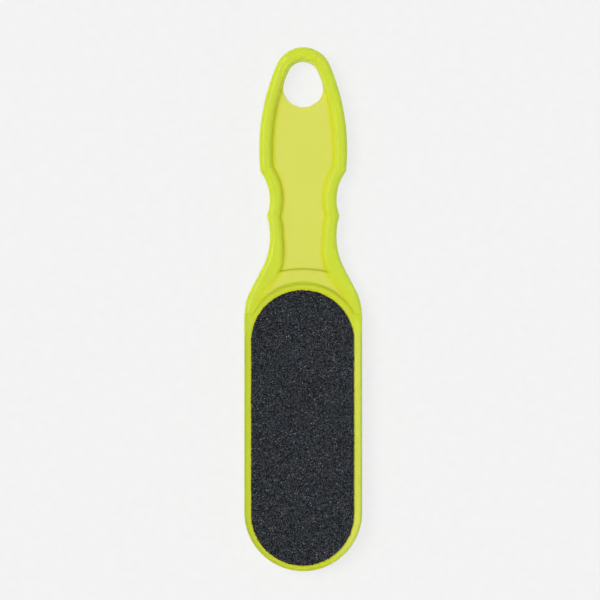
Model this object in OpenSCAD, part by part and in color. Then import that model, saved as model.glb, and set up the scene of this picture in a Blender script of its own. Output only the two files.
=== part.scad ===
// Foot file: a flat plastic paddle with an abrasive pad on each face of its head,
// and a waisted grip with a rounded bead, a thin web and a hanging hole.
// It lies flat: Z is its thickness and +Y points along the grip to the hanging hole.

/* [Overall] */
// Length from the heel of the head to the tip of the grip
overall_len = 200; // [180:1:240]
// Thickness across the two grit faces
overall_thick = 7; // [6.6:0.1:9]

/* [Head] */
// Width of the head
head_w = 45; // [42:0.5:52]
// Depth of the bed that each pad is glued into, below the rim
bed_depth = 0.75; // [0.5:0.05:1]
// Width of the sloping wall between the rim and the bed
bed_bevel = 1.2; // [0.6:0.1:1.6]
// Width of the flat rim around the bed, with its edge bevel
rim_w = 1.6; // [1.2:0.1:2.6]
// Bevel of the rim's outer edges
rim_bevel = 0.5; // [0.3:0.05:0.8]
// Height of the grit faces above the rim
grit_rise = 0.15; // [0.05:0.05:0.4]

/* [Pads] */
// How much closer the pads' lower end lies to the heel than their sides lie to the head's
pad_drop = 0.8; // [0:0.1:1]
// Gap on the bed around each pad
pad_gap = 0.1; // [0.05:0.05:0.4]
// Thickness of the adhesive film under each pad
film_t = 0.15; // [0.1:0.05:0.25]
// Thickness of the coarse grit coat
coarse_t = 0.35; // [0.2:0.05:0.4]
// Thickness of the fine grit coat
fine_t = 0.2; // [0.1:0.05:0.3]

/* [Grip outline] */
// Radius of the tip
tip_r = 11; // [10:0.5:13]
// Width of the grip where the palm holds it
palm_w = 33.7; // [32:0.1:35]
// Radius of the long sides beside the hanging hole
palm_r = 81; // [76:1:90]
// Distance from the finger hollow up to the widest place of the palm part
palm_rise = 19.2; // [18:0.1:21]
// Radius of the corner between the palm part and the finger hollow
corner_r = 2; // [1.5:0.1:3]
// Width of the grip between the finger hollows
finger_w = 25.6; // [24:0.1:27]
// Radius of the finger hollows
finger_r = 17.7; // [16:0.1:20]
// Radius of the ridge between the finger hollow and the waist
cusp_r = 2.5; // [1.5:0.1:3]
// Distance from the waist up to the finger hollow
waist_pitch = 14; // [13:0.1:16]
// Width of the waist
waist_w = 25.5; // [24:0.1:27]
// Radius of the waist's hollows
waist_r = 26.4; // [24:0.1:28]
// Distance from the centre of the head's crown up to the waist
waist_rise = 40.1; // [39:0.1:44]
// Radius of the shoulders
shoulder_r = 18; // [15:0.5:20]
// Distance from the centre of the head's crown up to the end of the shoulders
shoulder_rise = 10.8; // [9.5:0.1:12]
// Set-back of the shoulders from the sides of the head
shoulder_step = 0.15; // [0.1:0.05:0.4]

/* [Grip section] */
// Thickness of the rounded bead around the grip
bead_thick = 6.6; // [6.2:0.1:8]
// Width of the bead, from the outer edge to the inner one
bead_w = 5.2; // [4.8:0.1:6]
// Radius of the bead's outer edges
bead_round = 2.2; // [1.6:0.1:2.4]
// Width of the bead's inner slope
bead_slope = 2.1; // [1.6:0.1:2.4]
// Thickness of the thin web inside the bead
web_thick = 2; // [1.6:0.1:2.6]
// Thickness of the neck between the web and the head
neck_thick = 5.6; // [5:0.1:5.8]
// Distance from the centre of the head's crown up to the middle of the web's lower end
web_end_rise = 27.8; // [26:0.1:30]
// Radius of the arc that ends the web
web_end_r = 42; // [36:1:60]

/* [Hanging hole] */
// Radius of the hole's round lower edge
hole_r = 8; // [7:0.1:8.2]
// Distance from the tip of the grip to the centre of the hole's round lower edge
hole_drop = 15.4; // [15:0.1:18]
// Ledge of web that is left between the hole and the bead
hole_ledge = 0.2; // [0.1:0.05:0.4]

/* [Hidden] */
$fn = 128;
// Length by which cuts run past what they cut
overrun = 1;
// Set-back of the crown's disc from the sides of the head
crown_gap = 0.1;
// Radius of the bead's inner edge at the palm's corner and at the ridge
inner_corner_r = 1.5;
// Height of the bead above the neck where it ends at the shoulders
fade_rise = 0.05;
// Points along each arc of the outline, from the tip down
tip_steps = 8;
palm_steps = 9;
corner_steps = 3;
finger_steps = 7;
cusp_steps = 3;
waist_steps = 10;
shoulder_steps = 6;
round_steps = 4;
slope_steps = 4;
// The waist point at which the neck starts, as a share of the waist's arc
neck_start_share = 0.5;

half_t = overall_thick / 2;
rim_z = half_t - grit_rise;
bed_z = rim_z - bed_depth;
bead_z = bead_thick / 2;
web_z = web_thick / 2;
neck_z = neck_thick / 2;
bed_r = head_w / 2 - rim_w - bed_bevel;
pad_r = bed_r - pad_gap;
shoulder_x = head_w / 2 - shoulder_step;
// Length of the grip that is buried in the head
tuck = bead_w + overrun;

// Places along the length, from the tip down
tip_y = overall_len / 2 - tip_r;
palm_x = palm_w / 2 - palm_r;
palm_y = tip_y - sqrt(pow(palm_r - tip_r, 2) - pow(palm_x, 2));
finger_x = finger_w / 2 + finger_r;
finger_y = palm_y - palm_rise;
waist_x = waist_w / 2 + waist_r;
waist_y = finger_y - waist_pitch;
crown_y = waist_y - waist_rise;
shoulder_y = crown_y + shoulder_rise;
heel_y = head_w / 2 - overall_len / 2;
pad_end_y = heel_y - pad_drop;
web_end_y = crown_y + web_end_rise;
hole_y = overall_len / 2 - hole_drop;

// Centres of the arcs of the right-hand outline
tip_c = [0, tip_y];
palm_c = [palm_x, palm_y];
finger_c = [finger_x, finger_y];
waist_c = [waist_x, waist_y];
shoulder_c = [shoulder_x - shoulder_r, shoulder_y];

function heading(from, to) = atan2(to.y - from.y, to.x - from.x);
function full_turn(a) = (a + 360) % 360;
function polar(c, r, a) = c + r * [cos(a), sin(a)];
function blend(p, q, share) = p + (q - p) * share;

// Where two circles meet, on the left of the way from one centre to the other
function meet(p, rp, q, rq) =
    let (d = norm(q - p), u = (q - p) / d, along = (d * d + rp * rp - rq * rq) / (2 * d))
    p + u * along + [-u.y, u.x] * sqrt(rp * rp - along * along);

// Points of an arc, without its last one
function arc(c, r, from, to, steps) = [for (i = [0:steps - 1]) polar(c, r, from + (to - from) * i / steps)];

// The straight flank of the flare touches the waist's arc and the shoulder's
flare_a = heading(shoulder_c, waist_c)
    - acos((shoulder_r + waist_r) / norm(waist_c - shoulder_c));

// Right-hand outline from the tip down, moved inwards by inset, with its corner and ridge rounded
function side_line(inset, corner, cusp) =
    let (
        corner_c = meet(palm_c, palm_r - inset - corner, finger_c, finger_r + inset + corner),
        cusp_c = meet(waist_c, waist_r + inset + cusp, finger_c, finger_r + inset + cusp),
        tip_a = heading(palm_c, tip_c),
        palm_a = heading(palm_c, corner_c),
        finger_a = full_turn(heading(finger_c, corner_c)),
        cusp_a = full_turn(heading(finger_c, cusp_c)),
        waist_a = full_turn(heading(waist_c, cusp_c))
    )
    concat(
        arc(tip_c, tip_r - inset, 90, tip_a, tip_steps),
        arc(palm_c, palm_r - inset, tip_a, palm_a, palm_steps),
        arc(corner_c, corner, palm_a, finger_a - 180, corner_steps),
        arc(finger_c, finger_r + inset, finger_a, cusp_a, finger_steps),
        arc(cusp_c, cusp, cusp_a - 180, waist_a - 180, cusp_steps),
        arc(waist_c, waist_r + inset, waist_a, flare_a + 180, waist_steps),
        arc(shoulder_c, shoulder_r - inset, flare_a, 0, shoulder_steps),
        [shoulder_c + [shoulder_r - inset, 0]]
    );

outer_line = side_line(0, corner_r, cusp_r);
inner_line = side_line(bead_w, inner_corner_r, inner_corner_r);
waist_first = tip_steps + palm_steps + corner_steps + finger_steps + cusp_steps;
waist_last = waist_first + waist_steps;
line_last = waist_last + shoulder_steps;

// A point of the outline, moved inwards by inset
function inset_point(i, inset) = blend(outer_line[i], inner_line[i], inset / bead_w);
function mirrored(p) = concat([-p.x], [for (k = [1:len(p) - 1]) p[k]]);

// A closed loop from a right-hand line that starts on the axis, or from one that doesn't
function loop_from_axis(line) = concat(line, [for (i = [len(line) - 1:-1:1]) mirrored(line[i])]);
function loop_across(line) = concat(line, [for (i = [len(line) - 1:-1:0]) mirrored(line[i])]);

// A ring through loops with equal numbers of points, which follow one another around its section
module looped(loops) {
    n = len(loops[0]);
    polyhedron(
        points = [for (line = loops) each line],
        faces = [for (k = [0:len(loops) - 1], i = [0:n - 1]) each
            let (row = k * n, next = (k + 1) % len(loops) * n, j = (i + 1) % n)
            [[row + i, row + j, next + j], [row + i, next + j, next + i]]]
    );
}

// How far the bead has sunk to the neck's level at a point, from none to all
neck_first = round(blend(waist_first, waist_last, neck_start_share));
function sunk(i) =
    let (share = min(1, max(0, (i - neck_first) / (line_last - neck_first))))
    share * share * (3 - 2 * share);
function sunk_z(i, z) = z * blend(1, (neck_z + fade_rise) / bead_z, sunk(i));

// One loop of the bead's surface at an inset from the outer edge, closed inside the head
function bead_loop(inset, z) =
    let (
        line = [for (i = [0:line_last]) let (p = inset_point(i, inset)) [p.x, p.y, sunk_z(i, z)]],
        low = line[line_last]
    )
    loop_from_axis(concat(line, [[low.x, low.y - tuck + inset, low.z]]));
function underside(ring) = [for (p = ring) [p.x, p.y, -p.z]];

// The rounded bead around the grip
module bead() {
    outer = [for (k = [0:round_steps]) let (a = 90 * k / round_steps)
        bead_loop(bead_round * (1 - cos(a)), bead_z - bead_round * (1 - sin(a)))];
    inner = [for (k = [slope_steps:-1:0]) let (a = 90 * k / slope_steps)
        bead_loop(bead_w - bead_slope * (1 - cos(a)), bead_z * sin(a))];
    upper = concat(outer, inner);
    looped(concat([for (k = [len(upper) - 2:-1:0]) underside(upper[k])], upper));
}

// Middle of the bead's flat land, where the edges of the web and the neck are hidden
crest = (bead_round + bead_w - bead_slope) / 2;
function crest_line(first) =
    let (line = [for (i = [first:line_last]) inset_point(i, crest)])
    concat(line, [line[len(line) - 1] - [0, tuck - crest - overrun]]);

// The hole's outline: egg-shaped, with the bead's inner line above and a round lower edge
hole_line_r = palm_r - bead_w - hole_ledge;
hole_join = meet([0, hole_y], hole_r, palm_c, hole_line_r);
module hole_outline() {
    top_a = heading(palm_c, tip_c);
    side = concat(
        arc(tip_c, tip_r - bead_w - hole_ledge, 90, top_a, tip_steps),
        arc(palm_c, hole_line_r, top_a, heading(palm_c, hole_join), tip_steps),
        arc([0, hole_y], hole_r, heading([0, hole_y], hole_join), -90, palm_steps),
        [[0, hole_y - hole_r]]
    );
    polygon(concat(side, [for (i = [len(side) - 2:-1:1]) mirrored(side[i])]));
}

// The thin web inside the bead, with the hanging hole
module web() {
    translate([0, 0, -web_z]) linear_extrude(web_thick) difference() {
        polygon(loop_from_axis(crest_line(0)));
        hole_outline();
    }
}

// The thicker neck between the web and the head
module neck() {
    translate([0, 0, -neck_z]) linear_extrude(neck_thick) intersection() {
        polygon(loop_across(crest_line(neck_first)));
        translate([0, web_end_y - web_end_r]) circle(web_end_r);
    }
}

module grip() {
    bead();
    web();
    neck();
}

// The head's section, with bevelled edges, from its middle or from its far side to its edge
module head_section(from, r) {
    low = from == 0 ? [[0, -rim_z]] : [[-r, rim_bevel - rim_z], [rim_bevel - r, -rim_z]];
    high = from == 0 ? [[0, rim_z]] : [[rim_bevel - r, rim_z], [-r, rim_z - rim_bevel]];
    polygon(concat(low, [
        [r - rim_bevel, -rim_z], [r, rim_bevel - rim_z], [r, rim_z - rim_bevel], [r - rim_bevel, rim_z]
    ], high));
}

// Half of the section that is cut out for one pad
module bed_section() {
    polygon([
        [0, bed_z], [bed_r, bed_z], [bed_r + bed_bevel, rim_z],
        [bed_r + bed_bevel, rim_z + overrun], [0, rim_z + overrun]
    ]);
}

// A straight bar along Y with its section drawn in its child
module bar(from, to) {
    translate([0, to, 0]) rotate([90, 0, 0]) linear_extrude(to - from) children();
}

module head() {
    bar(heel_y, shoulder_y) head_section(-head_w / 2, head_w / 2);
    translate([0, heel_y, 0]) rotate_extrude() head_section(0, head_w / 2);
    translate([0, crown_y, 0]) rotate_extrude() head_section(0, head_w / 2 - crown_gap);
}

module bed() {
    bar(pad_end_y, crown_y) {
        bed_section();
        mirror([1, 0, 0]) bed_section();
    }
    translate([0, pad_end_y, 0]) rotate_extrude() bed_section();
    translate([0, crown_y, 0]) rotate_extrude() bed_section();
}

// A flat sheet with round ends, the shape of a pad
module sheet(from, to) {
    translate([0, 0, half_t + from]) linear_extrude(to - from) {
        translate([-pad_r, pad_end_y]) square([2 * pad_r, crown_y - pad_end_y]);
        translate([0, pad_end_y]) circle(pad_r);
        translate([0, crown_y]) circle(pad_r);
    }
}

module handle_body() {
    color([0.77, 0.84, 0.26]) translate([0, 0, half_t]) difference() {
        union() {
            grip();
            head();
        }
        bed();
        mirror([0, 0, 1]) bed();
    }
}

module coarse_adhesive_film() {
    color([0.75, 0.72, 0.62]) sheet(bed_z, bed_z + film_t);
}

module coarse_backing_sheet() {
    color([0.3, 0.27, 0.24]) sheet(bed_z + film_t, half_t - coarse_t);
}

module coarse_grit_coat() {
    color([0.2, 0.22, 0.24]) sheet(half_t - coarse_t, half_t);
}

module fine_adhesive_film() {
    color([0.75, 0.72, 0.62]) sheet(-bed_z - film_t, -bed_z);
}

module fine_backing_sheet() {
    color([0.3, 0.27, 0.24]) sheet(fine_t - half_t, -bed_z - film_t);
}

module fine_grit_coat() {
    color([0.24, 0.26, 0.28]) sheet(-half_t, fine_t - half_t);
}

handle_body();
coarse_adhesive_film();
coarse_backing_sheet();
coarse_grit_coat();
fine_adhesive_film();
fine_backing_sheet();
fine_grit_coat();
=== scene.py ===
"""Foot file: builds the moulded body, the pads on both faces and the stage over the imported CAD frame."""
import math

import bmesh
import bpy
import numpy as np
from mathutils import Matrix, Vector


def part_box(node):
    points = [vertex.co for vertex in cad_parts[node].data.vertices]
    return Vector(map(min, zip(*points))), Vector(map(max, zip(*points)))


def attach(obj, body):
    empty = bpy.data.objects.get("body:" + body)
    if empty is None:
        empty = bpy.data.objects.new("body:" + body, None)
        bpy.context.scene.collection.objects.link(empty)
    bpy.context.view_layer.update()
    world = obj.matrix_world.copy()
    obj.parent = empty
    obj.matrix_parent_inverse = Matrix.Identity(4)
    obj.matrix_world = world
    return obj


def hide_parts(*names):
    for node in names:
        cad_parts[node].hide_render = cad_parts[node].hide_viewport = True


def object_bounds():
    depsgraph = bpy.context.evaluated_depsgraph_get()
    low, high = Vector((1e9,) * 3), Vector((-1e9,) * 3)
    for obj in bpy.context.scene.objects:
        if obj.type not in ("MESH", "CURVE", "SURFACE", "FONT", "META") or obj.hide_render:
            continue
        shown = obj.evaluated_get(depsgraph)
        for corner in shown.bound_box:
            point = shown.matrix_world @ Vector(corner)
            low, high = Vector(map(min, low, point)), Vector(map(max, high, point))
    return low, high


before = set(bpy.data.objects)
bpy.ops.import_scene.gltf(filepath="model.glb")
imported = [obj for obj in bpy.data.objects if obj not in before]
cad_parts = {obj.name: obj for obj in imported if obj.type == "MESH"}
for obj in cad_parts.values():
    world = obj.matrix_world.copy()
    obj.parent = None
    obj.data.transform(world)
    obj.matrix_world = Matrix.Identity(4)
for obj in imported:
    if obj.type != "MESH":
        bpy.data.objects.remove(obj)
cad_low, cad_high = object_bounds()
MM = 0.001

# Runs of the body's outline from the tip down, with their lengths in millimetres and how many times
# closer than the point spacing their points lie
TIP, PALM, CORNER, FINGER, RIDGE, WAIST, FLANK, SHOULDER = range(8)
RUN_LENGTHS = (12.7, 46, 0.9, 15.5, 1.6, 21, 11, 9)
RUN_CLOSENESS = (1, 1, 3, 1, 4, 1.3, 2, 2)
FEWEST_POINTS = 6
# Rows of the web, counted from the hanging hole down, that are moved to start at its lowest point
LIFTED_ROWS = 16
# Height of the bead above the neck where it ends at the shoulders
FADE_RISE = 0.05 * MM
# Width of a patch of colour on the coarse and on the fine grit
COARSE_SPECK = 0.25 * MM
FINE_SPECK = 0.2 * MM

bl_info = {
    "name": "Foot file",
    "version": (1, 0, 0),
    "blender": (4, 5, 0),
    "location": "3D View > Sidebar > Foot file",
    "description": "Builds a moulded foot file with a grit pad on each face",
    "category": "Object",
}


def length(name, description, default_mm):
    """A property in metres whose default is written in millimetres."""
    return bpy.props.FloatProperty(name=name, description=description, default=default_mm * MM,
                                   min=0, precision=5, unit="LENGTH", subtype="DISTANCE")


def colour(name, description, red, green, blue):
    """A colour property whose default is written as it shows on a screen, from 0 to 255, and is turned
    to linear light by the sRGB curve."""
    screen = np.array([red, green, blue]) / 255
    linear = np.where(screen <= 0.04045, screen / 12.92, ((screen + 0.055) / 1.055) ** 2.4)
    return bpy.props.FloatVectorProperty(name=name, description=description, size=3, min=0, max=1,
                                         default=tuple(float(v) for v in linear), subtype="COLOR")


class BodySizes(bpy.types.PropertyGroup):
    """Sizes of the moulded body."""
    tip_radius: length("Tip radius", "Radius of the grip's tip", 11)
    tip_fill: length("Tip fill", "How much rounder the bead is inside at the tip", 0.25)
    palm_width: length("Palm width", "Width of the grip where the palm holds it", 33.7)
    palm_radius: length("Palm radius", "Radius of the sides beside the hanging hole", 81)
    palm_rise: length("Palm rise", "From the finger hollow up to the palm's widest place", 19.2)
    corner_radius: length("Corner radius", "Radius between palm and finger hollow", 2)
    finger_width: length("Finger width", "Width between the finger hollows", 25.6)
    finger_radius: length("Finger radius", "Radius of the finger hollows", 17.7)
    ridge_radius: length("Ridge radius", "Radius of the ridge between hollow and waist", 1.9)
    waist_pitch: length("Waist pitch", "From the waist up to the finger hollow", 14)
    waist_width: length("Waist width", "Width of the waist", 25.5)
    waist_radius: length("Waist radius", "Radius of the waist's hollows", 26.4)
    waist_rise: length("Waist rise", "From the crown's centre up to the waist", 40.1)
    shoulder_radius: length("Shoulder radius", "Radius of the shoulders", 18)
    shoulder_rise: length("Shoulder rise", "From the crown's centre up to the shoulders' end", 10.8)
    shoulder_step: length("Shoulder step", "Set-back of the shoulders from the head's sides", 0.15)
    bead_width: length("Bead width", "Width of the bead around the grip", 5.2)
    bead_half: length("Bead half thickness", "Height above the middle plane", 3.3)
    bead_round: length("Bead rounding", "Radius of the bead's outer edges", 2.2)
    bead_slope: length("Bead slope", "Width of the bead's inner slope", 2.1)
    corner_pull: length("Corner pull", "How much wider the bead is at the web's lower corners", 1.8)
    web_half: length("Web half thickness", "Height above the middle plane", 1)
    neck_half: length("Neck half thickness", "Height of the neck at the head", 2.8)
    neck_dip: length("Neck dip", "How much lower the neck is at the web's end", 0.45)
    web_end_rise: length("Web end rise", "From the crown's centre up to the web's lower end", 27.8)
    web_end_radius: length("Web end radius", "Radius of the arc that ends the web", 42)
    hole_radius: length("Hole radius", "Radius of the hanging hole's lower edge", 7.75)
    hole_drop: length("Hole drop", "From the tip to the centre of the hole's lower edge", 15.15)
    hole_ledge: length("Hole ledge", "Web left between the hole and the bead", 0.05)
    hole_edge: length("Hole edge", "Radius of the hole's rounded edges", 0.3)
    rim_half: length("Rim half thickness", "Height above the middle plane", 3.35)
    rim_width: length("Rim width", "Width of the rim with its rounded edge", 1.6)
    rim_round: length("Rim rounding", "Radius of the rim's outer edges", 0.5)
    bed_depth: length("Bed depth", "Depth of the bed below the rim", 0.75)
    bed_slope: length("Bed slope", "Width of the slope between rim and bed", 1.2)
    rim_dish: length("Rim dish", "How much lower the rim is at its inside", 0.4)
    pad_drop: length("Pad drop", "How much closer a pad's end is to the heel than to the sides", 0.8)
    crown_gap: length("Crown gap", "Set-back of the crown from the head's sides", 0.1)
    spacing: length("Point spacing", "Distance between points along the outline", 0.4)


class PadSizes(bpy.types.PropertyGroup):
    """Sizes of the two pads."""
    gap: length("Pad gap", "Gap on the bed around each pad", 0.12)
    # Painted shade: the coarse grit and its backing are moved left so that their dark colour covers the
    # bed's left side where shade falls; the adhesive film stays in the middle
    aside: length("Pad aside", "How far left of the middle the coarse pad is glued", 0.3)
    ragged: length("Ragged edge", "How far grit stands in and out at a pad's edge", 0.5)
    mesh_cell: length("Grit mesh", "Distance between points on the grit", 0.21)
    coarse_grain: length("Coarse grain", "Distance between coarse grains", 0.45)
    coarse_height: length("Coarse height", "Height of the coarse grains", 0.16)
    fine_grain: length("Fine grain", "Distance between fine grains", 0.42)
    fine_height: length("Fine height", "Height of the fine grains", 0.09)
    seed: bpy.props.IntProperty(name="Seed", description="Seed of the grains", default=7, min=0)


class Finishes(bpy.types.PropertyGroup):
    """Colours of the surfaces."""
    plastic_web: colour("Plastic of the web", "Where the plastic is thin", 247, 251, 124)
    plastic_bead: colour("Plastic of the bead", "Where the plastic is thick", 236, 253, 75)
    # Painted glow: a deeper, greener colour at the outer edges stands in for light led through the plastic
    # to its edges
    plastic_edge_glow: colour("Plastic at the edge", "At the outer edges, where the dye glows", 226, 246, 44)
    # Painted light: a yellow glow along the inner foot of the bead and of the rim, where light gathers
    plastic_foot_glow: colour("Plastic at the bead's foot", "Along the bead's inner foot", 245, 246, 24)
    # Painted shade: a darker colour in the web end's groove and the crown's crease
    plastic_groove_shade: colour("Plastic in the grooves", "Where light is caught in a crease", 212, 224, 34)
    coarse_dark: colour("Coarse grit, dark", "The darkest coarse grains", 4, 6, 9)
    coarse_light: colour("Coarse grit, light", "Most of the light coarse grains", 77, 83, 91)
    # Painted glints: the brightest grains stand in for light glancing off their facets
    painted_glint: colour("Glint", "The few brightest grains of both faces", 144, 153, 163)
    fine_dark: colour("Fine grit, dark", "The darkest fine grains", 22, 24, 26)
    fine_light: colour("Fine grit, light", "Most of the light fine grains", 84, 86, 90)
    backing: colour("Backing", "The backing sheet's cut edge", 62, 59, 53)
    adhesive: colour("Adhesive", "The adhesive film", 190, 184, 160)
    background: colour("Background", "The floor", 246, 246, 247)


def heading(start, end):
    """Angle of the way from one point to another."""
    return math.atan2(end[1] - start[1], end[0] - start[0])


def meet(p, p_radius, q, q_radius):
    """Where two circles meet, on the left of the way from p to q."""
    p, q = np.array(p, float), np.array(q, float)
    apart = np.linalg.norm(q - p)
    way = (q - p) / apart
    along = (apart**2 + p_radius**2 - q_radius**2) / (2 * apart)
    aside = math.sqrt(p_radius**2 - along**2)
    return p + way * along + np.array([-way[1], way[0]]) * aside


def polar(centre, radius, angle):
    """The point of a circle at an angle."""
    return np.array([centre[0] + radius * math.cos(angle), centre[1] + radius * math.sin(angle)])


def arc(centre, radius, start, end, steps):
    """Points of an arc, centre + radius * (cos, sin) at evenly spaced angles, without the last."""
    angle = start + (end - start) * np.arange(steps) / steps
    return np.stack([centre[0] + radius * np.cos(angle), centre[1] + radius * np.sin(angle)], 1)


def smooth_max(a, b, reach):
    """The larger of two heights, with a parabola instead of a crease where they are within reach."""
    near = np.maximum(reach - np.abs(a - b), 0) / reach
    return np.maximum(a, b) + near**2 * reach / 4


def smooth_min(a, b, reach):
    """The smaller of two heights, rounded like smooth_max."""
    return -smooth_max(-a, -b, reach)


def eased(share):
    """The cubic 3t^2 - 2t^3 of a share, held between none and all."""
    share = np.clip(share, 0, 1)
    return share * share * (3 - 2 * share)


def rounded(distance, radius):
    """A quarter circle: how far a surface lies below its flat level at a distance from its edge."""
    short = np.clip(radius - distance, 0, radius)
    return radius - np.sqrt(radius**2 - short**2)


def sagitta(bend, x):
    """How far a circle of a given curvature has fallen from its top at a distance from its axis."""
    return bend * x**2 / (1 + np.sqrt(1 - (bend * x) ** 2))


def distance_to(points, line):
    """Distance from each point to the nearest place on a chain of straight pieces."""
    start, way = line[:-1], np.diff(line, axis=0)
    share = ((points[..., None, :] - start) * way).sum(-1) / (way * way).sum(-1)
    nearest = start + way * np.clip(share, 0, 1)[..., None]
    return np.linalg.norm(points[..., None, :] - nearest, axis=-1).min(-1)


class Outline:
    """The places and arcs of the body's right-hand outline, from the tip down."""

    def __init__(self, sizes):
        self.s = s = sizes
        self.top = cad_high[1]
        self.half = cad_high[0]
        self.heel = np.array([0, cad_low[1] + self.half])
        self.pad_end = self.heel - np.array([0, s.pad_drop])
        self.slope_start = s.bead_width - s.bead_slope
        self.top_radius = self.half - s.rim_width
        self.bed_radius = self.top_radius - s.bed_slope
        self.tip = (0, self.top - s.tip_radius)
        palm_x = s.palm_width / 2 - s.palm_radius
        drop = math.sqrt((s.palm_radius - s.tip_radius) ** 2 - palm_x**2)
        self.palm = (palm_x, self.tip[1] - drop)
        self.finger = (s.finger_width / 2 + s.finger_radius, self.palm[1] - s.palm_rise)
        self.waist = (s.waist_width / 2 + s.waist_radius, self.finger[1] - s.waist_pitch)
        self.crown = np.array([0, self.waist[1] - s.waist_rise])
        self.crown_radius = self.half - s.crown_gap
        self.shoulder_y = self.crown[1] + s.shoulder_rise
        shoulder_x = self.half - s.shoulder_step
        self.shoulder = (shoulder_x - s.shoulder_radius, self.shoulder_y)
        apart = math.dist(self.shoulder, self.waist)
        self.flare = heading(self.shoulder, self.waist) - math.acos(
            (s.shoulder_radius + s.waist_radius) / apart)
        self.web_end = np.array([0, self.crown[1] + s.web_end_rise - s.web_end_radius])
        self.hole = np.array([0, self.top - s.hole_drop])
        self.notch_x = math.sqrt(self.crown_radius**2 - s.shoulder_rise**2)

    def tip_arc(self, inset, steps):
        """The tip's arc at an inset, on a centre on the axis from which it touches the palm's arc, and
        the angle at which they touch. Towards the inside of the bead it gets rounder by the fill."""
        s = self.s
        radius = s.tip_radius - inset + s.tip_fill * inset / s.bead_width
        apart = s.palm_radius - inset - radius
        centre = (0, self.palm[1] + math.sqrt(apart**2 - self.palm[0] ** 2))
        touch = heading(self.palm, centre)
        return arc(centre, radius, math.pi / 2, touch, steps), touch

    def side(self, inset, corner, ridge, counts):
        """The outline moved inwards by an inset: a chain of arcs that touch, and the flare's flank."""
        s = self.s
        corner_at = meet(self.palm, s.palm_radius - inset - corner,
                         self.finger, s.finger_radius + inset + corner)
        ridge_at = meet(self.waist, s.waist_radius + inset + ridge,
                        self.finger, s.finger_radius + inset + ridge)
        tip, tip_a = self.tip_arc(inset, counts[TIP])
        palm_a = heading(self.palm, corner_at)
        finger_a = heading(self.finger, corner_at) % math.tau
        ridge_a = heading(self.finger, ridge_at) % math.tau
        waist_a = heading(self.waist, ridge_at) % math.tau
        flank_start = polar(self.waist, s.waist_radius + inset, self.flare + math.pi)
        flank_end = polar(self.shoulder, s.shoulder_radius - inset, self.flare)
        share = (np.arange(counts[FLANK]) / counts[FLANK])[:, None]
        return np.concatenate([
            tip,
            arc(self.palm, s.palm_radius - inset, tip_a, palm_a, counts[PALM]),
            arc(corner_at, corner, palm_a, finger_a - math.pi, counts[CORNER]),
            arc(self.finger, s.finger_radius + inset, finger_a, ridge_a, counts[FINGER]),
            arc(ridge_at, ridge, ridge_a - math.pi, waist_a - math.pi, counts[RIDGE]),
            arc(self.waist, s.waist_radius + inset, waist_a, self.flare + math.pi, counts[WAIST]),
            flank_start + (flank_end - flank_start) * share,
            arc(self.shoulder, s.shoulder_radius - inset, self.flare, 0, counts[SHOULDER]),
            [[self.shoulder[0] + s.shoulder_radius - inset, self.shoulder[1]]],
        ])

    def counts(self):
        """Numbers of points on the outline's runs: their lengths over the spacing, times their closeness."""
        return [max(FEWEST_POINTS, round(run * MM * closer / self.s.spacing))
                for run, closer in zip(RUN_LENGTHS, RUN_CLOSENESS)]

    def hole_side(self, steps):
        """The hanging hole's right-hand edge in three runs, each with its own number of steps: the tip's
        and the palm's arcs, moved inwards past the bead, then the circle of the hole's lower end."""
        s = self.s
        upper_radius = s.palm_radius - s.bead_width - s.hole_ledge
        join = meet(self.hole, s.hole_radius, self.palm, upper_radius)
        tip, tip_a = self.tip_arc(s.bead_width + s.hole_ledge, steps[0])
        return np.concatenate([
            tip,
            arc(self.palm, upper_radius, tip_a, heading(self.palm, join), steps[1]),
            arc(self.hole, s.hole_radius, heading(self.hole, join), -math.pi / 2, steps[2]),
            [[0, self.hole[1] - s.hole_radius]],
        ])


def head_edge_distance(o, x, y):
    """Distance inside the head's edge: the larger of those inside its bar and inside its crown's disc,
    and below the middle of the heel the distance inside the heel's circle."""
    in_bar = np.minimum(o.half - np.abs(x), o.shoulder_y - y)
    in_disc = o.crown_radius - np.hypot(x, y - o.crown[1])
    in_heel = o.half - np.hypot(x, y - o.heel[1])
    return np.where(y < o.heel[1], in_heel, np.maximum(in_bar, in_disc))


def bed_distance(o, x, y):
    """Distance from the pads' middle line, between the centres of their round ends."""
    return np.hypot(x, y - np.clip(y, o.pad_end[1], o.crown[1]))


def head_height(o, edge, middle):
    """Height of the head's surface: a rim with a quarter-round edge, dished as the 1.5th power of the
    share of its width, then the slope to the bed."""
    s = o.s
    fillet, least_width, dish_power = 0.12 * MM, 0.01 * MM, 1.5
    width = edge + np.maximum(middle - o.top_radius, 0)
    dish = s.rim_dish * np.clip(edge / np.maximum(width, least_width), 0, 1) ** dish_power
    rim = s.rim_half - rounded(edge, s.rim_round) - dish
    fall = (s.bed_depth - s.rim_dish) / s.bed_slope
    slope = s.rim_half - s.rim_dish - (o.top_radius - middle) * fall
    bed = np.full_like(slope, s.rim_half - s.bed_depth)
    return smooth_min(rim, smooth_max(slope, bed, fillet), fillet)


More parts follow.
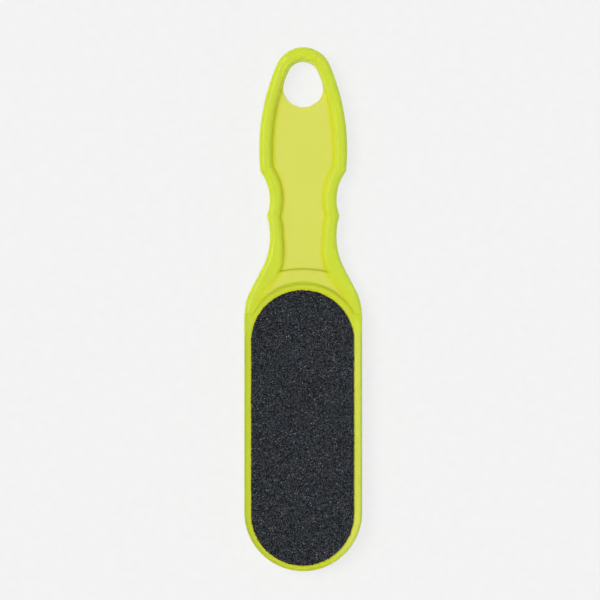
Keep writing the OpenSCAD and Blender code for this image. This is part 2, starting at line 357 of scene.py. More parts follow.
def grip_height(o, x, y, inset, sunk):
    """Height of the grip's surface. The bead is a quarter circle, a flat land and a quarter ellipse,
    lowered where it has sunk. The web rises to the neck as a cubic inside the arc that ends it, and
    falls off steeply under the bead's flat land. The higher of the two shows, with a fillet."""
    s = o.s
    dip_length, ramp_length = 5 * MM, 2.4 * MM
    web_fillet, bead_fillet = 0.1 * MM, 0.4 * MM
    fall_under_bead = 4
    bead = s.bead_half - rounded(inset, s.bead_round)
    lean = np.clip((inset - o.slope_start) / s.bead_slope, 0, 1)
    bead = np.where(inset > o.slope_start, s.bead_half * np.sqrt(1 - lean**2), bead)
    bead = bead * (1 + sunk * ((s.neck_half + FADE_RISE) / s.bead_half - 1))
    past = s.web_end_radius - np.hypot(x, y - o.web_end[1])
    crease = np.hypot(x, y - o.crown[1]) - o.crown_radius
    neck = s.neck_half - s.neck_dip * eased(crease / dip_length)
    ramp = 1 - (1 - np.clip(past / ramp_length, 0, 1)) ** 3
    rising = s.web_half + (neck - s.web_half) * ramp
    floor = smooth_max(rising, np.full_like(x, s.web_half), web_fillet)
    floor = floor - fall_under_bead * np.maximum(0, (s.bead_round + o.slope_start) / 2 - inset)
    return smooth_max(bead, floor, bead_fillet)


def bell(distance, reach):
    """One at no distance, falling off as the exponential of minus the squared share of the reach."""
    return np.exp(-(distance / reach) ** 2)


def grooves(o, x, y):
    """How much a point lies in the groove at the web's end and in the crown's crease, as bell curves
    across each. The crease is eased out towards the sides."""
    end_shift, end_reach = 0.2 * MM, 0.4 * MM
    crease_reach, crease_share = 0.45 * MM, 0.8
    crease_half_width, crease_fade = 19 * MM, 6 * MM
    past = o.s.web_end_radius - np.hypot(x, y - o.web_end[1])
    crease = np.hypot(x, y - o.crown[1]) - o.crown_radius
    fold = bell(crease, crease_reach) * eased((crease_half_width - np.abs(x)) / crease_fade)
    return bell(past - end_shift, end_reach), crease_share * fold * (y > o.crown[1])


def bead_lines(o, insets, counts):
    """Lines of points down the grip, one at each inset between the outline and the bead's inner edge.
    Around the web's lower corners they are moved towards the axis by the corner pull, eased out over a
    stretch above and one below, and eased in across the bead's flat land."""
    s = o.s
    inner_corner = 1.5 * MM
    corner_drop, stretch_above, stretch_below = 2 * MM, 16 * MM, 10 * MM
    outer = o.side(0, s.corner_radius, s.ridge_radius, counts)
    inner = o.side(s.bead_width, inner_corner, inner_corner, counts)
    lines = outer[:, None] + (inner - outer)[:, None] * (insets / s.bead_width)[None, :, None]
    y = lines[..., 1]
    corner_y = o.crown[1] + s.web_end_rise - corner_drop
    far = np.where(y > corner_y, (y - corner_y) / stretch_above, (corner_y - y) / stretch_below)
    across = (insets - s.bead_round) / (o.slope_start - s.bead_round)
    lines[..., 0] -= s.corner_pull * (1 - eased(far)) * eased(across)
    return lines


def cut_at_head(o, lines, counts):
    """The lines of the bead, cut where they meet the head's edge: from a third of the waist down, each
    line's points are spread evenly up to there. Also each point's place, counted along its old line."""
    side_margin, least_depth = 1e-7, 1e-8
    last = len(lines) - 1
    x = lines[..., 0]
    crown = o.crown[1] + np.sqrt(np.maximum(o.crown_radius**2 - x**2, 0))
    above = lines[..., 1] - np.where(np.abs(x) < o.notch_x - side_margin, crown, o.shoulder_y)
    below = above < -least_depth
    meets = below.any(0)
    first = np.where(meets, below.argmax(0), last)
    across = np.arange(lines.shape[1])
    before, after = above[first - 1, across], above[first, across]
    cut = np.where(meets, first - 1 + before / np.where(meets, before - after, 1), last)
    start = sum(counts[:WAIST]) + counts[WAIST] // 3
    station = np.arange(last + 1)[:, None]
    share = np.clip((station - start) / (last - start), 0, 1)
    place = np.where(share > 0, start + (cut[None] - start) * share, station)
    low = np.minimum(place.astype(int), last - 1)
    part = (place - low)[..., None]
    return lines[low, across] * (1 - part) + lines[low + 1, across] * part, place


def web_field(o, edge, counts):
    """Lines of points inwards from the bead's inner edge. Beside the hole they run straight to its
    edge. Further down they run to the axis along circles whose curvature grows from none to that of
    the web's end and then to the head's. The first rows below the hole are lifted by a power of their
    share to start at its lowest point, and the last rows beside it bow down to meet them. Also the
    hole's edge and the station of its lowest point."""
    s = o.s
    hole_margin, bend_run = 1 * MM, 12 * MM
    palm_share, lift_power, bowed_rows, web_points = 0.3, 1.6, 10, 12
    station = np.arange(len(edge))
    outside = np.hypot(edge[:, 0], edge[:, 1] - o.web_end[1]) - s.web_end_radius
    web_last = int(np.argmax(outside < 0))
    hole_last = int(np.argmax(edge[:, 1] < o.hole[1] - s.hole_radius - hole_margin))
    bend = np.interp(station, [web_last - int(bend_run / s.spacing), web_last, len(edge) - 1],
                     [0, 1 / s.web_end_radius, 1 / o.crown_radius])
    apex = edge[:, 1] + sagitta(bend, edge[:, 0])
    palm_steps = int((hole_last - counts[TIP]) * palm_share)
    hole = o.hole_side([counts[TIP], palm_steps, hole_last - counts[TIP] - palm_steps])
    t = np.sin(np.linspace(0, math.pi / 2, web_points + 1)[1:])[None, :]
    x = edge[:, :1] * (1 - t)
    field = np.stack([x, apex[:, None] - sagitta(bend[:, None], x)], 2)
    beside = slice(0, hole_last)
    field[beside] = edge[beside, None] + (hole[:-1] - edge[beside])[:, None] * t[..., None]
    row = station - hole_last
    share = np.clip(row, 0, LIFTED_ROWS) / LIFTED_ROWS
    level = hole[-1, 1] - (hole[-1, 1] - apex[hole_last + LIFTED_ROWS]) * share**lift_power
    lift = np.where((row >= 0) & (row < LIFTED_ROWS), level - apex, 0)
    bow = (1 - (1 - t) ** 2) ** 2
    bowed = lift[hole_last] * np.where(row < 0, np.clip(1 + row / bowed_rows, 0, 1), 0)
    field[..., 1] += lift[:, None] * bow + bowed[:, None] * (bow - t)
    field[hole_last, -1] = hole[-1]
    return field, hole, hole_last


def grip_grid(o):
    """The grip's right half as a grid of points with heights: stations down the outline, each with a
    line through the bead and on to the hole or the axis. From half down the waist on, the bead sinks
    to the neck. Also each point's tint shares (its depth inside the bead, which places the painted edge
    glow, its painted shade in the grooves and its painted glow at the bead's foot) and the station of
    the hole's lowest point."""
    s = o.s
    round_points, slope_points = 11, 15
    groove_from, foot_reach, sunk_reach = 0.6, 0.6, 1.1
    counts = o.counts()
    quarter = np.linspace(0, math.pi / 2, round_points)
    notch_inset = o.half - s.shoulder_step - o.notch_x
    insets = np.concatenate([
        s.bead_round * (1 - np.cos(quarter)),
        [(s.bead_round + notch_inset) / 2, notch_inset],
        o.slope_start + s.bead_slope * np.sin(np.linspace(0, math.pi / 2, slope_points)),
    ])
    bead, place = cut_at_head(o, bead_lines(o, insets, counts), counts)
    sunk_from = sum(counts[:WAIST]) + counts[WAIST] // 2
    sunk = eased((place[:, :1] - sunk_from) / (len(bead) - 1 - sunk_from))
    edge = bead[:, -1]
    field, hole, hole_last = web_field(o, edge, counts)
    grid = np.concatenate([bead, field], 1)
    x, y = grid[..., 0], grid[..., 1]
    inset = np.append(insets, np.full(field.shape[1], s.bead_width)) + np.zeros_like(x)
    z = grip_height(o, x, y, inset, sunk)
    near = slice(0, hole_last + LIFTED_ROWS)
    z[near] -= rounded(distance_to(grid[near], hole), s.hole_edge)
    depth = inset / s.bead_width
    # Painted shade: the shares of the web end's groove and the crown's crease
    line, fold = grooves(o, x, y)
    line = line * eased((depth - groove_from) / (1 - groove_from))
    # Painted glow: a bell along the foot of the bead's inner slope, wider where the bead sinks at the
    # shoulders
    foot = np.concatenate([np.broadcast_to(s.bead_width - insets, bead.shape[:2]),
                           np.linalg.norm(field - edge[:, None], axis=2)], 1)
    foot_glow = bell(foot, (foot_reach + sunk_reach * sunk) * MM)
    return np.dstack([grid, z]), np.stack([depth, np.maximum(line, fold), foot_glow], 2), hole_last


def head_grid(o, crease):
    """The head's right half as a grid: stations from the top of the crown down the edge to the heel,
    each with a line across the rim and the bed to the pad's middle line. The middle line is stretched
    from the heel's centre to that of the pad's lower end."""
    s = o.s
    shoulder_points, side_points, heel_points = 20, 90, 80
    rim_shares = np.array([0, 0.015, 0.04, 0.08, 0.13, 0.19, 0.26, 0.34, 0.5, 0.7, 0.86, 0.94])
    bed_insets = np.array([0, 0.06, 0.13, 0.35, 0.7, 1.05, 1.13, 1.2, 1.27, 1.36, 1.6, 6]) * MM
    below_shoulder = np.array([0.04, 0.3, 0.8]) * MM
    side_y = np.concatenate([
        o.shoulder_y - below_shoulder[:2],
        np.linspace(o.shoulder_y - below_shoulder[2], o.crown[1], shoulder_points),
        np.linspace(o.crown[1], o.heel[1], side_points)[1:],
    ])
    side = np.stack([np.full(len(side_y), o.half), side_y], 1)
    angle = np.linspace(0, -math.pi / 2, heel_points)[1:]
    heel = o.heel + o.half * np.stack([np.cos(angle), np.sin(angle)], 1)
    edge = np.concatenate([crease[:, :2], side, heel])
    spine = np.stack([np.zeros(len(edge)), np.clip(edge[:, 1], o.heel[1], o.crown[1])], 1)
    out = edge - spine
    out = out / np.linalg.norm(out, axis=1, keepdims=True)
    stretch = (o.crown[1] - o.pad_end[1]) / (o.crown[1] - o.heel[1])
    spine[:, 1] = o.crown[1] - (o.crown[1] - spine[:, 1]) * stretch
    rim = spine + out * o.top_radius
    ring = edge[:, None] + (rim - edge)[:, None] * rim_shares[None, :, None]
    bed = spine[:, None] + out[:, None] * (o.top_radius - bed_insets)[None, :, None]
    grid = np.concatenate([ring, bed, spine[:, None]], 1)
    x, y = grid[..., 0], grid[..., 1]
    z = head_height(o, head_edge_distance(o, x, y), bed_distance(o, x, y))
    z[: len(crease), 0] = crease[:, 2]
    return np.dstack([grid, z])


def quads(rows, columns, first=0):
    """Corner numbers of the faces of a grid of points, row by row."""
    corner = np.arange(rows * columns).reshape(rows, columns) + first
    return np.stack([corner[:-1, :-1], corner[1:, :-1], corner[1:, 1:], corner[:-1, 1:]], 2).reshape(-1, 4)


def closed_mesh(name, points, faces, shades=None):
    """A mesh object from corner points and faces: points that coincide are merged, faces that shrink
    to a line are dropped, and all faces are turned outwards."""
    coincident = 0.0005 * MM
    key = np.round(points / coincident).astype(np.int64)
    _, keep, number = np.unique(key, axis=0, return_index=True, return_inverse=True)
    faces = number.reshape(-1)[faces]
    following = np.roll(faces, -1, axis=1)
    distinct = faces != following
    whole = faces[distinct.all(1)]
    cut = distinct.sum(1) == 3
    threes = faces[cut][distinct[cut]].reshape(-1, 3)
    mesh = bpy.data.meshes.new(name)
    mesh.from_pydata(points[keep], [], whole.tolist() + threes.tolist())
    if shades is not None:
        for shade, values in shades.items():
            layer = mesh.attributes.new(shade, "FLOAT", "POINT")
            layer.data.foreach_set("value", values[keep].astype(np.float32))
    work = bmesh.new()
    work.from_mesh(mesh)
    bmesh.ops.recalc_face_normals(work, faces=work.faces)
    if work.calc_volume(signed=True) < 0:
        bmesh.ops.reverse_faces(work, faces=work.faces)
    work.to_mesh(mesh)
    work.free()
    mesh.shade_smooth()
    obj = bpy.data.objects.new(name, mesh)
    bpy.context.scene.collection.objects.link(obj)
    return obj


def build_body(sizes):
    """The body as one closed surface: the top grid of grip and head, mirrored to the left and to the
    underside, with walls around the outline and through the hanging hole. Each point carries tint
    shares: its depth inside the edge, which places the painted glow at the edges, how much it lies in a
    groove, which gets painted shade, and its nearness to the foot of the bead's or of the rim's inner
    slope, which gets a painted yellow glow."""
    foot_reach, wall_rows = 0.8 * MM, 5
    o = Outline(sizes)
    grip, grip_shades, hole_last = grip_grid(o)
    crease = grip[-1][::-1]
    head = head_grid(o, crease)
    x, y = head[..., 0], head[..., 1]
    depth = np.minimum(head_edge_distance(o, x, y) / sizes.bead_width, 1)
    # Painted glow along the foot of the rim's inner slope
    foot = bell(bed_distance(o, x, y) - o.bed_radius, foot_reach)
    pieces = [grip, head]
    shades = [grip_shades, np.stack([depth, grooves(o, x, y)[1], foot], 2)]
    wall = np.concatenate([grip[:, 0], head[len(crease):, 0]])
    levels = np.linspace(1, -1, wall_rows)[None, :, None]
    for line in (wall, grip[: hole_last + 1, -1]):
        strip = np.repeat(line[:, None], wall_rows, 1)
        strip[..., 2:] = strip[..., 2:] * levels
        pieces.append(strip)
        shades.append(np.zeros_like(strip))
    points, faces, tints = [], [], []
    count = 0
    for index, piece in enumerate(pieces):
        for left in (1, -1):
            for under in ((1, -1) if index < 2 else (1,)):
                points.append((piece * [left, 1, under]).reshape(-1, 3))
                tints.append(shades[index].reshape(-1, 3))
                faces.append(quads(*piece.shape[:2], count))
                count += len(points[-1])
    points = np.concatenate(points)
    points[:, 2] += (cad_high[2] + cad_low[2]) / 2
    # Tint shares: inset places the painted edge glow, groove the painted shade, foot the painted yellow glow
    tints = dict(zip(("inset", "groove", "foot"), np.concatenate(tints).T))
    return closed_mesh("handle_body_moulding", points, np.concatenate(faces), tints)


def around(o, x, y, radius):
    """How far along the edge of a pad a point lies: up the right side, over the crown and back round."""
    run = o.crown[1] - o.pad_end[1]
    top = np.arctan2(y - o.crown[1], np.abs(x))
    low = np.arctan2(y - o.pad_end[1], np.abs(x))
    right = np.where(y < o.pad_end[1], radius * low, y - o.pad_end[1])
    right = np.where(y > o.crown[1], run + radius * top, right)
    return np.where(x >= 0, right, run + math.pi * radius + run - right)


def grain_peaks(x, y, grain, seed):
    """Heights from none to one of sharp grains: each stands near its own place in a grid, is a pyramid
    turned by a random angle, and the highest one shows at each point."""
    margin, lowest, steepness = 0.15, 0.45, 0.8
    random = np.random.default_rng(seed)
    column, row = np.floor(x / grain).astype(int), np.floor(y / grain).astype(int)
    column_low, row_low = column.min() - 1, row.min() - 1
    table = random.random((column.max() - column_low + 3, row.max() - row_low + 3, 4))
    height = np.zeros_like(x)
    for over in (-1, 0, 1):
        for up in (-1, 0, 1):
            c, r = column + over, row + up
            facts = table[c - column_low, r - row_low]
            dx = x / grain - c - margin - (1 - 2 * margin) * facts[..., 0]
            dy = y / grain - r - margin - (1 - 2 * margin) * facts[..., 1]
            turn = facts[..., 2] * math.pi
            along = np.abs(dx * np.cos(turn) + dy * np.sin(turn))
            aside = np.abs(dy * np.cos(turn) - dx * np.sin(turn))
            peak = lowest + (1 - lowest) * facts[..., 3] - steepness * np.maximum(along, aside)
            height = np.maximum(height, peak)
    return height


def build_grit(name, o, pads, low, high, outwards, grain, height, aside):
    """A coat of grit as one closed surface: a square grid of points, cut to the pad's shape, scattered
    a little and raised by the grains, with a wall and a flat back. The grid's edge is moved to the
    pad's edge, which stands in and out by random draws, averaged over four neighbours and held
    between a deepest notch and a farthest tip."""
    cell = pads.mesh_cell
    cut_inset, scatter, edge_drop = 0.9 * cell, 0.3 * cell, 0.3 * height
    contrast, threshold, notch, tip = 2, 1.15, -0.6, 0.3
    radius = o.bed_radius - pads.gap
    half_count = int(radius / cell)
    rows = int((o.crown[1] - o.pad_end[1] + 2 * radius) / cell)
    start = (o.crown[1] + o.pad_end[1]) / 2 - rows * cell / 2
    x, y = np.meshgrid(np.arange(-half_count, half_count + 1) * cell,
                       start + np.arange(rows + 1) * cell, indexing="ij")
    middle = np.clip(y, o.pad_end[1], o.crown[1])
    away = np.hypot(x, y - middle)
    inside = away <= radius - cut_inset
    whole = inside[:-1, :-1] & inside[1:, :-1] & inside[1:, 1:] & inside[:-1, 1:]
    framed = np.pad(whole, 1)
    cells_around = np.stack([framed[1:, 1:], framed[:-1, 1:], framed[:-1, :-1], framed[1:, :-1]])
    used = cells_around.any(0)
    edge = used & ~cells_around.all(0)
    random = np.random.default_rng(pads.seed)
    rough = random.random(x.shape)
    rough = (rough + np.roll(rough, 1, 0) + np.roll(rough, 1, 1) + np.roll(rough, (1, 1), (0, 1))) / 4
    reach = radius + pads.ragged * np.clip(contrast * rough - threshold, notch, tip)
    factor = np.where(edge, reach / np.maximum(away, cell), 1)
    scatter = np.where(used & ~edge, scatter, 0)
    px = x * factor + scatter * (random.random(x.shape) - 0.5)
    py = middle + (y - middle) * factor + scatter * (random.random(x.shape) - 0.5)
    peaks = grain_peaks(px, py, grain, pads.seed)
    level = high - outwards * height * (1 - peaks)
    level = np.where(edge, level - outwards * edge_drop, level)
    grid = quads(*x.shape)[whole.reshape(-1)]
    top = np.stack([px, py, level], 2).reshape(-1, 3)
    rim = np.flatnonzero(edge.reshape(-1))
    rim = rim[np.argsort(around(o, top[rim, 0], top[rim, 1], radius))]
    back = top[rim] * [1, 1, 0] + [0, 0, low]
    ring = np.arange(len(rim))
    following = np.roll(ring, -1)
    first = len(top)
    wall = np.stack([rim, np.roll(rim, -1), first + following, first + ring], 1)
    centre = back * [0, 1, 1]
    centre[:, 1] = np.clip(centre[:, 1], o.pad_end[1], o.crown[1])
    spine = first + len(rim)
    flat = np.stack([first + ring, first + following, spine + following, spine + ring], 1)
    points = np.concatenate([top, back, centre]) - [aside, 0, 0]
    return closed_mesh(name, points, np.concatenate([grid, wall, flat]))


def build_sheet(name, o, pads, low, high, wave, aside):
    """A thin sheet in the pad's shape: its edge bulges as half an ellipse between the two faces, and
    waves in and out as a sum of sines along the edge, and both faces run in to the middle line."""
    end_points, side_points, edge_rows = 121, 201, 7
    bulge_share, waves_around = 0.25, (61, 97, 143, 211)
    radius = o.bed_radius - pads.gap - wave
    run = o.crown[1] - o.pad_end[1]
    turn = np.linspace(-math.pi / 2, math.pi / 2, end_points)
    side = np.linspace(0, 1, side_points)[1:-1]
    out = np.concatenate([np.stack([np.sin(turn), np.cos(turn)], 1), np.tile([1, 0], (len(side), 1))])
    out = np.concatenate([out, -out])
    way = run * np.append(np.zeros(len(turn)), side)
    base = np.append(o.crown[1] - way, o.pad_end[1] + way)
    spine = np.stack([np.zeros(len(base)), base], 1)
    phase = np.linspace(0, math.tau, len(base), endpoint=False)
    waves = sum(np.sin(phase * k + k * k) / len(waves_around) for k in waves_around)
    bulge = np.linspace(-math.pi / 2, math.pi / 2, edge_rows)
    level = (low + high) / 2 + (high - low) / 2 * np.sin(bulge)
    reach = radius + waves[:, None] * wave - bulge_share * (high - low) * (1 - np.cos(bulge))
    edge = spine[:, None] + out[:, None] * reach[..., None]
    grid = np.dstack([edge, np.broadcast_to(level, reach.shape)])
    under, over = (np.insert(spine, 2, level, axis=1)[:, None] for level in (low, high))
    grid = np.concatenate([under, grid, over], 1)
    grid = np.concatenate([grid, grid[:1]])
    return closed_mesh(name, grid.reshape(-1, 3) - [aside, 0, 0], quads(*grid.shape[:2]))


class Nodes:
    """The node tree of a material or a world, with short ways to add and join nodes."""

    def __init__(self, owner, output="OutputMaterial"):
        owner.use_nodes = True
        self.owner = owner
        self.tree = owner.node_tree
        self.tree.nodes.clear()
        self.output = self.add(output)
        self.coordinates = self.add("TexCoord").outputs

    def add(self, kind, **settings):
        """A new shader node with its settings."""
        node = self.tree.nodes.new("ShaderNode" + kind)
        for setting, value in settings.items():
            setattr(node, setting, value)
        return node

    def give(self, socket, value):
        """Joins an output to an input, or writes a number or a colour into it."""
        if isinstance(value, bpy.types.NodeSocket):
            self.tree.links.new(value, socket)
        elif socket.type == "RGBA":
            socket.default_value = (*value, 1)
        else:
            socket.default_value = value

    def put(self, node, **values):
        """Fills a node's inputs by their names, with _ in place of spaces."""
        for name, value in values.items():
            self.give(node.inputs[name.replace("_", " ")], value)
        return node

    def fill(self, node, values):
        """Fills a node's inputs by their numbers."""
        for number, value in values.items():
            self.give(node.inputs[number], value)
        return node

    def noise(self, size, detail=3, roughness=0.5):
        """Noise whose features are about a given size."""
        return self.put(self.add("TexNoise"), Vector=self.coordinates["Object"], Scale=1 / size,
                        Detail=detail, Roughness=roughness).outputs["Fac"]

    def attribute(self, name):
        """The number that the mesh's points carry under a name."""
        return self.add("Attribute", attribute_name=name).outputs["Fac"]

    def math(self, operation, first, second):
        """The result of a calculation with two numbers."""
        return self.fill(self.add("Math", operation=operation), {0: first, 1: second}).outputs[0]

    def span(self, value, low, high, to_low=0.0, to_high=1.0):
        """A value moved from one range to another and held there, with soft ends."""
        node = self.add("MapRange", interpolation_type="SMOOTHSTEP")
        return self.put(node, Value=value, From_Min=low, From_Max=high, To_Min=to_low,
                        To_Max=to_high).outputs["Result"]

    def waver(self, noise, to_low=0.0, to_high=1.0):
        """Noise, which mostly lies between 0.3 and 0.7, spread over a range."""
        return self.span(noise, 0.3, 0.7, to_low, to_high)

    def mix(self, share, first, second, blend="MIX"):
        """Two colours mixed by a share."""
        node = self.add("Mix", data_type="RGBA", blend_type=blend)
        return self.fill(node, {0: share, 6: first, 7: second}).outputs[2]

    def pick(self, share, first, second):
        """Two shaders mixed by a share."""
        return self.fill(self.add("MixShader"), {0: share, 1: first, 2: second}).outputs[0]

    def bump(self, height, strength, distance):
        """The surface's direction with a relief in it."""
        node = self.put(self.add("Bump"), Height=height, Strength=strength, Distance=distance)
        return node.outputs["Normal"]

    def show(self, shader):
        """Puts a shader on the surface and gives back the material or the world."""
        self.give(self.output.inputs["Surface"], shader)
        return self.owner

    def finish(self, **values):
        """Puts a Principled shader with the given inputs on the surface."""
        return self.show(self.put(self.add("BsdfPrincipled"), **values).outputs[0])


def plastic(finishes):
    """Neon translucent plastic: light goes through it and takes on its colour with the depth. The dye is
    palest in the web and greener in the bead, with faint flow marks. On top of the dye, a glow is painted
    at the outer edges, a yellow glow along the foot of the inner slopes and shade in the grooves. The skin
    is satin with a fine moulded texture."""
    n = Nodes(bpy.data.materials.new("neon_plastic"))
    inset = n.attribute("inset")
    body = n.mix(n.span(inset, 0.7, 1.0), finishes.plastic_bead, finishes.plastic_web)
    # Painted glow at the outer edges
    body = n.mix(n.span(inset, 0.0, 0.3), finishes.plastic_edge_glow, body)
    # Painted yellow glow along the foot of the inner slopes
    body = n.mix(n.attribute("foot"), body, finishes.plastic_foot_glow)
    # Painted shade in the grooves
    body = n.mix(n.attribute("groove"), body, finishes.plastic_groove_shade)
    flow = n.waver(n.noise(20 * MM, 2), 0.0, 0.12)
    body = n.mix(flow, body, finishes.plastic_bead)
    rough = n.waver(n.noise(6 * MM), 0.14, 0.2)
    normal = n.bump(n.noise(0.9 * MM, 2), 0.08, 0.04 * MM)
    depth = n.put(n.add("VolumeAbsorption"), Color=(0.99667, 0.99917, 0.7), Density=600)
    n.give(n.output.inputs["Volume"], depth.outputs[0])
    return n.finish(Base_Color=body, Roughness=rough, Normal=normal, IOR=1.49,
                    Transmission_Weight=0.55)


def grit(name, dark, light, painted_glint, speck):
    """Silicon carbide grit: each grain has its own shade between dark and light, a few carry a painted
    glint, faint cool and warm patches lie over them, and the facets are sharp."""
    cool, warm = (0.94, 1.0, 1.03), (1.06, 0.98, 1.03)
    n = Nodes(bpy.data.materials.new(name))
    cells = n.put(n.add("TexVoronoi"), Vector=n.coordinates["Object"], Scale=1 / speck)
    shade, rarity, polish = n.fill(n.add("SeparateColor"), {0: cells.outputs["Color"]}).outputs
    body = n.mix(n.span(shade, 0.35, 0.97), dark, light)
    # Painted glints on the rarest grains
    body = n.mix(n.span(rarity, 0.988, 0.994), body, painted_glint)
    patch = n.mix(n.span(n.noise(9 * MM, 2), 0.35, 0.65), cool, warm)
    body = n.mix(1.0, body, patch, "MULTIPLY")
    normal = n.bump(n.noise(speck * 0.5, 2), 0.6, speck * 0.3)
    rough = n.span(polish, 0.1, 0.9, 0.45, 0.8)
    return n.finish(Base_Color=body, Roughness=rough, Normal=normal, Specular_IOR_Level=0.2)


def paper(name, tone):
    """Resin-soaked backing: fibres along the sheet, with darker and lighter specks."""
    n = Nodes(bpy.data.materials.new(name))
    fibres = n.noise(0.4 * MM, 4, 0.7)
    body = n.mix(n.waver(fibres), np.array(tone) * 0.7, np.array(tone) * 1.2)
    return n.finish(Base_Color=body, Roughness=n.waver(n.noise(2 * MM), 0.7, 0.9),
                    Normal=n.bump(fibres, 0.4, 0.05 * MM))


def glue(name, tone):
    """A clear-cream adhesive film with faint clouds."""
    n = Nodes(bpy.data.materials.new(name))
    clouds = n.noise(3 * MM)
    body = n.mix(n.waver(clouds), np.array(tone) * 0.85, tone)
    return n.finish(Base_Color=body, Roughness=n.waver(clouds, 0.4, 0.55),
                    Normal=n.bump(clouds, 0.2, 0.03 * MM), Subsurface_Weight=0.2,
                    Subsurface_Radius=(1.0, 0.9, 0.7), Subsurface_Scale=1 * MM)


def mount(obj, node, material):
    """Puts a finished piece on the body in place of its CAD node."""
    obj.data.materials.append(material)
    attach(obj, "root")
    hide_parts(node)


class MakeBody(bpy.types.Operator):
    """Build the moulded body with its bead, web, neck, hole, rim and beds"""
    bl_idname = "footfile.make_body"
    bl_label = "Moulded body"

    def execute(self, context):
        scene = context.scene
        body = build_body(scene.foot_file_body)
        mount(body, "handle_body", plastic(scene.foot_file_finishes))
        return {"FINISHED"}


class MakeGrit(bpy.types.Operator):
    """Build the coarse and the fine coat of grit"""
    bl_idname = "footfile.make_grit"
    bl_label = "Grit coats"

    def execute(self, context):
        scene = context.scene
        o, pads, f = Outline(scene.foot_file_body), scene.foot_file_pads, scene.foot_file_finishes
        low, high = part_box("coarse_grit_coat")
        # The coarse grit is moved left by the pad aside: a dark sheet over the bed's shaded left side
        coarse = build_grit("coarse_grit", o, pads, low[2], high[2], 1, pads.coarse_grain,
                            pads.coarse_height, pads.aside)
        mount(coarse, "coarse_grit_coat",
              grit("coarse_silicon_carbide", f.coarse_dark, f.coarse_light, f.painted_glint, COARSE_SPECK))
        low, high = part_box("fine_grit_coat")
        fine = build_grit("fine_grit", o, pads, high[2], low[2], -1, pads.fine_grain,
                          pads.fine_height, 0)
        mount(fine, "fine_grit_coat",
              grit("fine_silicon_carbide", f.fine_dark, f.fine_light, f.painted_glint, FINE_SPECK))
        return {"FINISHED"}


class MakeBacking(bpy.types.Operator):
    """Build the backing sheets and the adhesive films under the grit"""
    bl_idname = "footfile.make_backing"
    bl_label = "Backing and adhesive"

    def execute(self, context):
        scene = context.scene
        o, pads, f = Outline(scene.foot_file_body), scene.foot_file_pads, scene.foot_file_finishes
        card, film = paper("backing_card", f.backing), glue("adhesive_film", f.adhesive)
        for side in ("coarse", "fine"):
            for part, wave, slot, material in (("backing_sheet", 0.05 * MM, "pad_backing", card),
                                               ("adhesive_film", 0.12 * MM, "pad_adhesive", film)):
                node = f"{side}_{part}"
                low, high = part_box(node)
                # Only the coarse backing follows the coarse grit to the left, a dark sheet over the bed's
                # shaded left side
                aside = pads.aside if (side, part) == ("coarse", "backing_sheet") else 0
                piece = build_sheet(f"{side}_{part}_layer", o, pads, low[2], high[2], wave, aside)
                mount(piece, node, material)
        return {"FINISHED"}


def seen_directly(n):
    """One for rays from the camera, through plastic or off a glossy surface, and none for the light
    that falls on things."""
    path = n.add("LightPath").outputs
    direct = n.math("MAXIMUM", path["Is Camera Ray"], path["Is Glossy Ray"])
    return n.math("MAXIMUM", direct, path["Is Transmission Ray"])


def floor_material(tone, own_light):
    """A matt floor in the background's colour, open to a view from below. A share of what is seen of
    it is its own tone, which keeps the object's shadow soft."""
    n = Nodes(bpy.data.materials.new("pale_floor"))
    body = n.mix(n.waver(n.noise(4 * MM, 2)), tone, np.array(tone) * 0.985)
    matt = n.put(n.add("BsdfPrincipled"), Base_Color=body, Roughness=0.9, Specular_IOR_Level=0.1)
    own = n.put(n.add("Emission"), Color=body)
    share = n.math("MULTIPLY", seen_directly(n), own_light)
    lit = n.pick(share, matt.outputs[0], own.outputs[0])
    behind = n.add("NewGeometry").outputs["Backfacing"]
    return n.show(n.pick(behind, lit, n.add("BsdfTransparent").outputs[0]))


def sun(name, azimuth, elevation, strength, spread, tint):
    """A wide soft lamp far away, with its directions in degrees, that lights the whole floor evenly
    and leaves no highlight of its own."""
    lamp = bpy.data.lights.new(name, "SUN")
    lamp.energy = strength
    lamp.angle = math.radians(spread)
    lamp.color = tint
    obj = bpy.data.objects.new(name, lamp)
    obj.rotation_euler = (math.radians(90 - elevation), 0, math.radians(azimuth))
    obj.visible_glossy = False
    bpy.context.scene.collection.objects.link(obj)


def studio(tone, strength, tint):
    """The world: an even light, and a pale surround that glossy surfaces see darker towards the left."""
    darkest = 0.1
    n = Nodes(bpy.data.worlds.new("studio"), "OutputWorld")
    light = n.put(n.add("Background"), Color=tint, Strength=strength)
    direction = n.fill(n.add("SeparateXYZ"), {0: n.coordinates["Generated"]}).outputs
    grade = n.span(direction["X"], -1, 1, darkest, 1)
    glossy = n.add("LightPath").outputs["Is Glossy Ray"]
    level = n.fill(n.add("Mix"), {0: glossy, 2: 1, 3: grade}).outputs[0]
    shown = n.put(n.add("Background"), Color=tone, Strength=level)
    return n.show(n.pick(seen_directly(n), light.outputs[0], shown.outputs[0]))


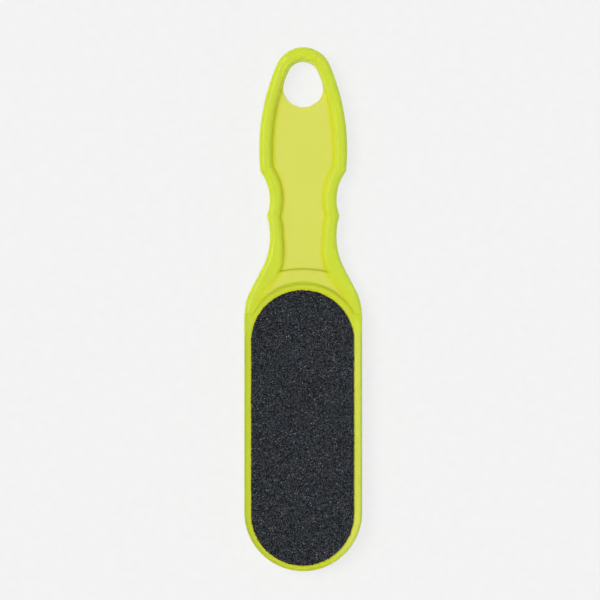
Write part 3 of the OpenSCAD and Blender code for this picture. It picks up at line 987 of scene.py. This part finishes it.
class MakeStage(bpy.types.Operator):
    """Build the floor, the lamps, the world and the camera at the photograph's viewing angle"""
    bl_idname = "footfile.make_stage"
    bl_label = "Stage"

    def execute(self, context):
        scene = context.scene
        tone = scene.foot_file_finishes.background
        half, drop = 4.0, 0.05 * MM
        corners = [(x * half, y * half, -drop) for x, y in ((-1, -1), (1, -1), (1, 1), (-1, 1))]
        mesh = bpy.data.meshes.new("floor")
        mesh.from_pydata(corners, [], [(0, 1, 2, 3)])
        floor = bpy.data.objects.new("floor", mesh)
        floor.data.materials.append(floor_material(tone, own_light=0.86))
        scene.collection.objects.link(floor)

        sun("key_from_left", azimuth=-110, elevation=54, strength=2.4, spread=40, tint=(1, 0.94, 0.8))
        sun("fill_from_right", azimuth=45, elevation=10, strength=0.5, spread=60, tint=(1, 1, 1))
        scene.world = studio(tone, strength=0.25, tint=(0.95, 1.0, 1.08))

        height, subject_height, width_seen = 2.0, 6 * MM, 228.9 * MM
        camera = bpy.data.objects.new("camera", bpy.data.cameras.new("camera"))
        camera.location = (-1.22 * MM, 3.47 * MM, height)
        camera.data.lens = camera.data.sensor_width * (height - subject_height) / width_seen
        camera.data.clip_end = 20
        scene.collection.objects.link(camera)
        scene.camera = camera
        scene.view_settings.view_transform = "Standard"
        return {"FINISHED"}


class FootFilePanel(bpy.types.Panel):
    """Sizes, finishes and the buttons that build each group of pieces"""
    bl_idname = "VIEW3D_PT_foot_file"
    bl_label = "Foot file"
    bl_space_type = "VIEW_3D"
    bl_region_type = "UI"
    bl_category = "Foot file"

    def draw(self, context):
        for operator in OPERATORS:
            self.layout.operator(operator.bl_idname)
        for group in ("foot_file_body", "foot_file_pads", "foot_file_finishes"):
            box = self.layout.box()
            holder = getattr(context.scene, group)
            for name in holder.__annotations__:
                box.prop(holder, name)


GROUPS = {"foot_file_body": BodySizes, "foot_file_pads": PadSizes, "foot_file_finishes": Finishes}
OPERATORS = (MakeBody, MakeGrit, MakeBacking, MakeStage)


def register():
    """Registers the property groups, the operators and the panel."""
    for name, group in GROUPS.items():
        bpy.utils.register_class(group)
        setattr(bpy.types.Scene, name, bpy.props.PointerProperty(type=group))
    for kind in (*OPERATORS, FootFilePanel):
        bpy.utils.register_class(kind)


def unregister():
    """Takes away what register added."""
    for kind in (FootFilePanel, *reversed(OPERATORS)):
        bpy.utils.unregister_class(kind)
    for name, group in reversed(GROUPS.items()):
        delattr(bpy.types.Scene, name)
        bpy.utils.unregister_class(group)


def main():
    """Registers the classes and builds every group."""
    register()
    bpy.ops.footfile.make_body()
    bpy.ops.footfile.make_grit()
    bpy.ops.footfile.make_backing()
    bpy.ops.footfile.make_stage()


if __name__ == "__main__":
    main()
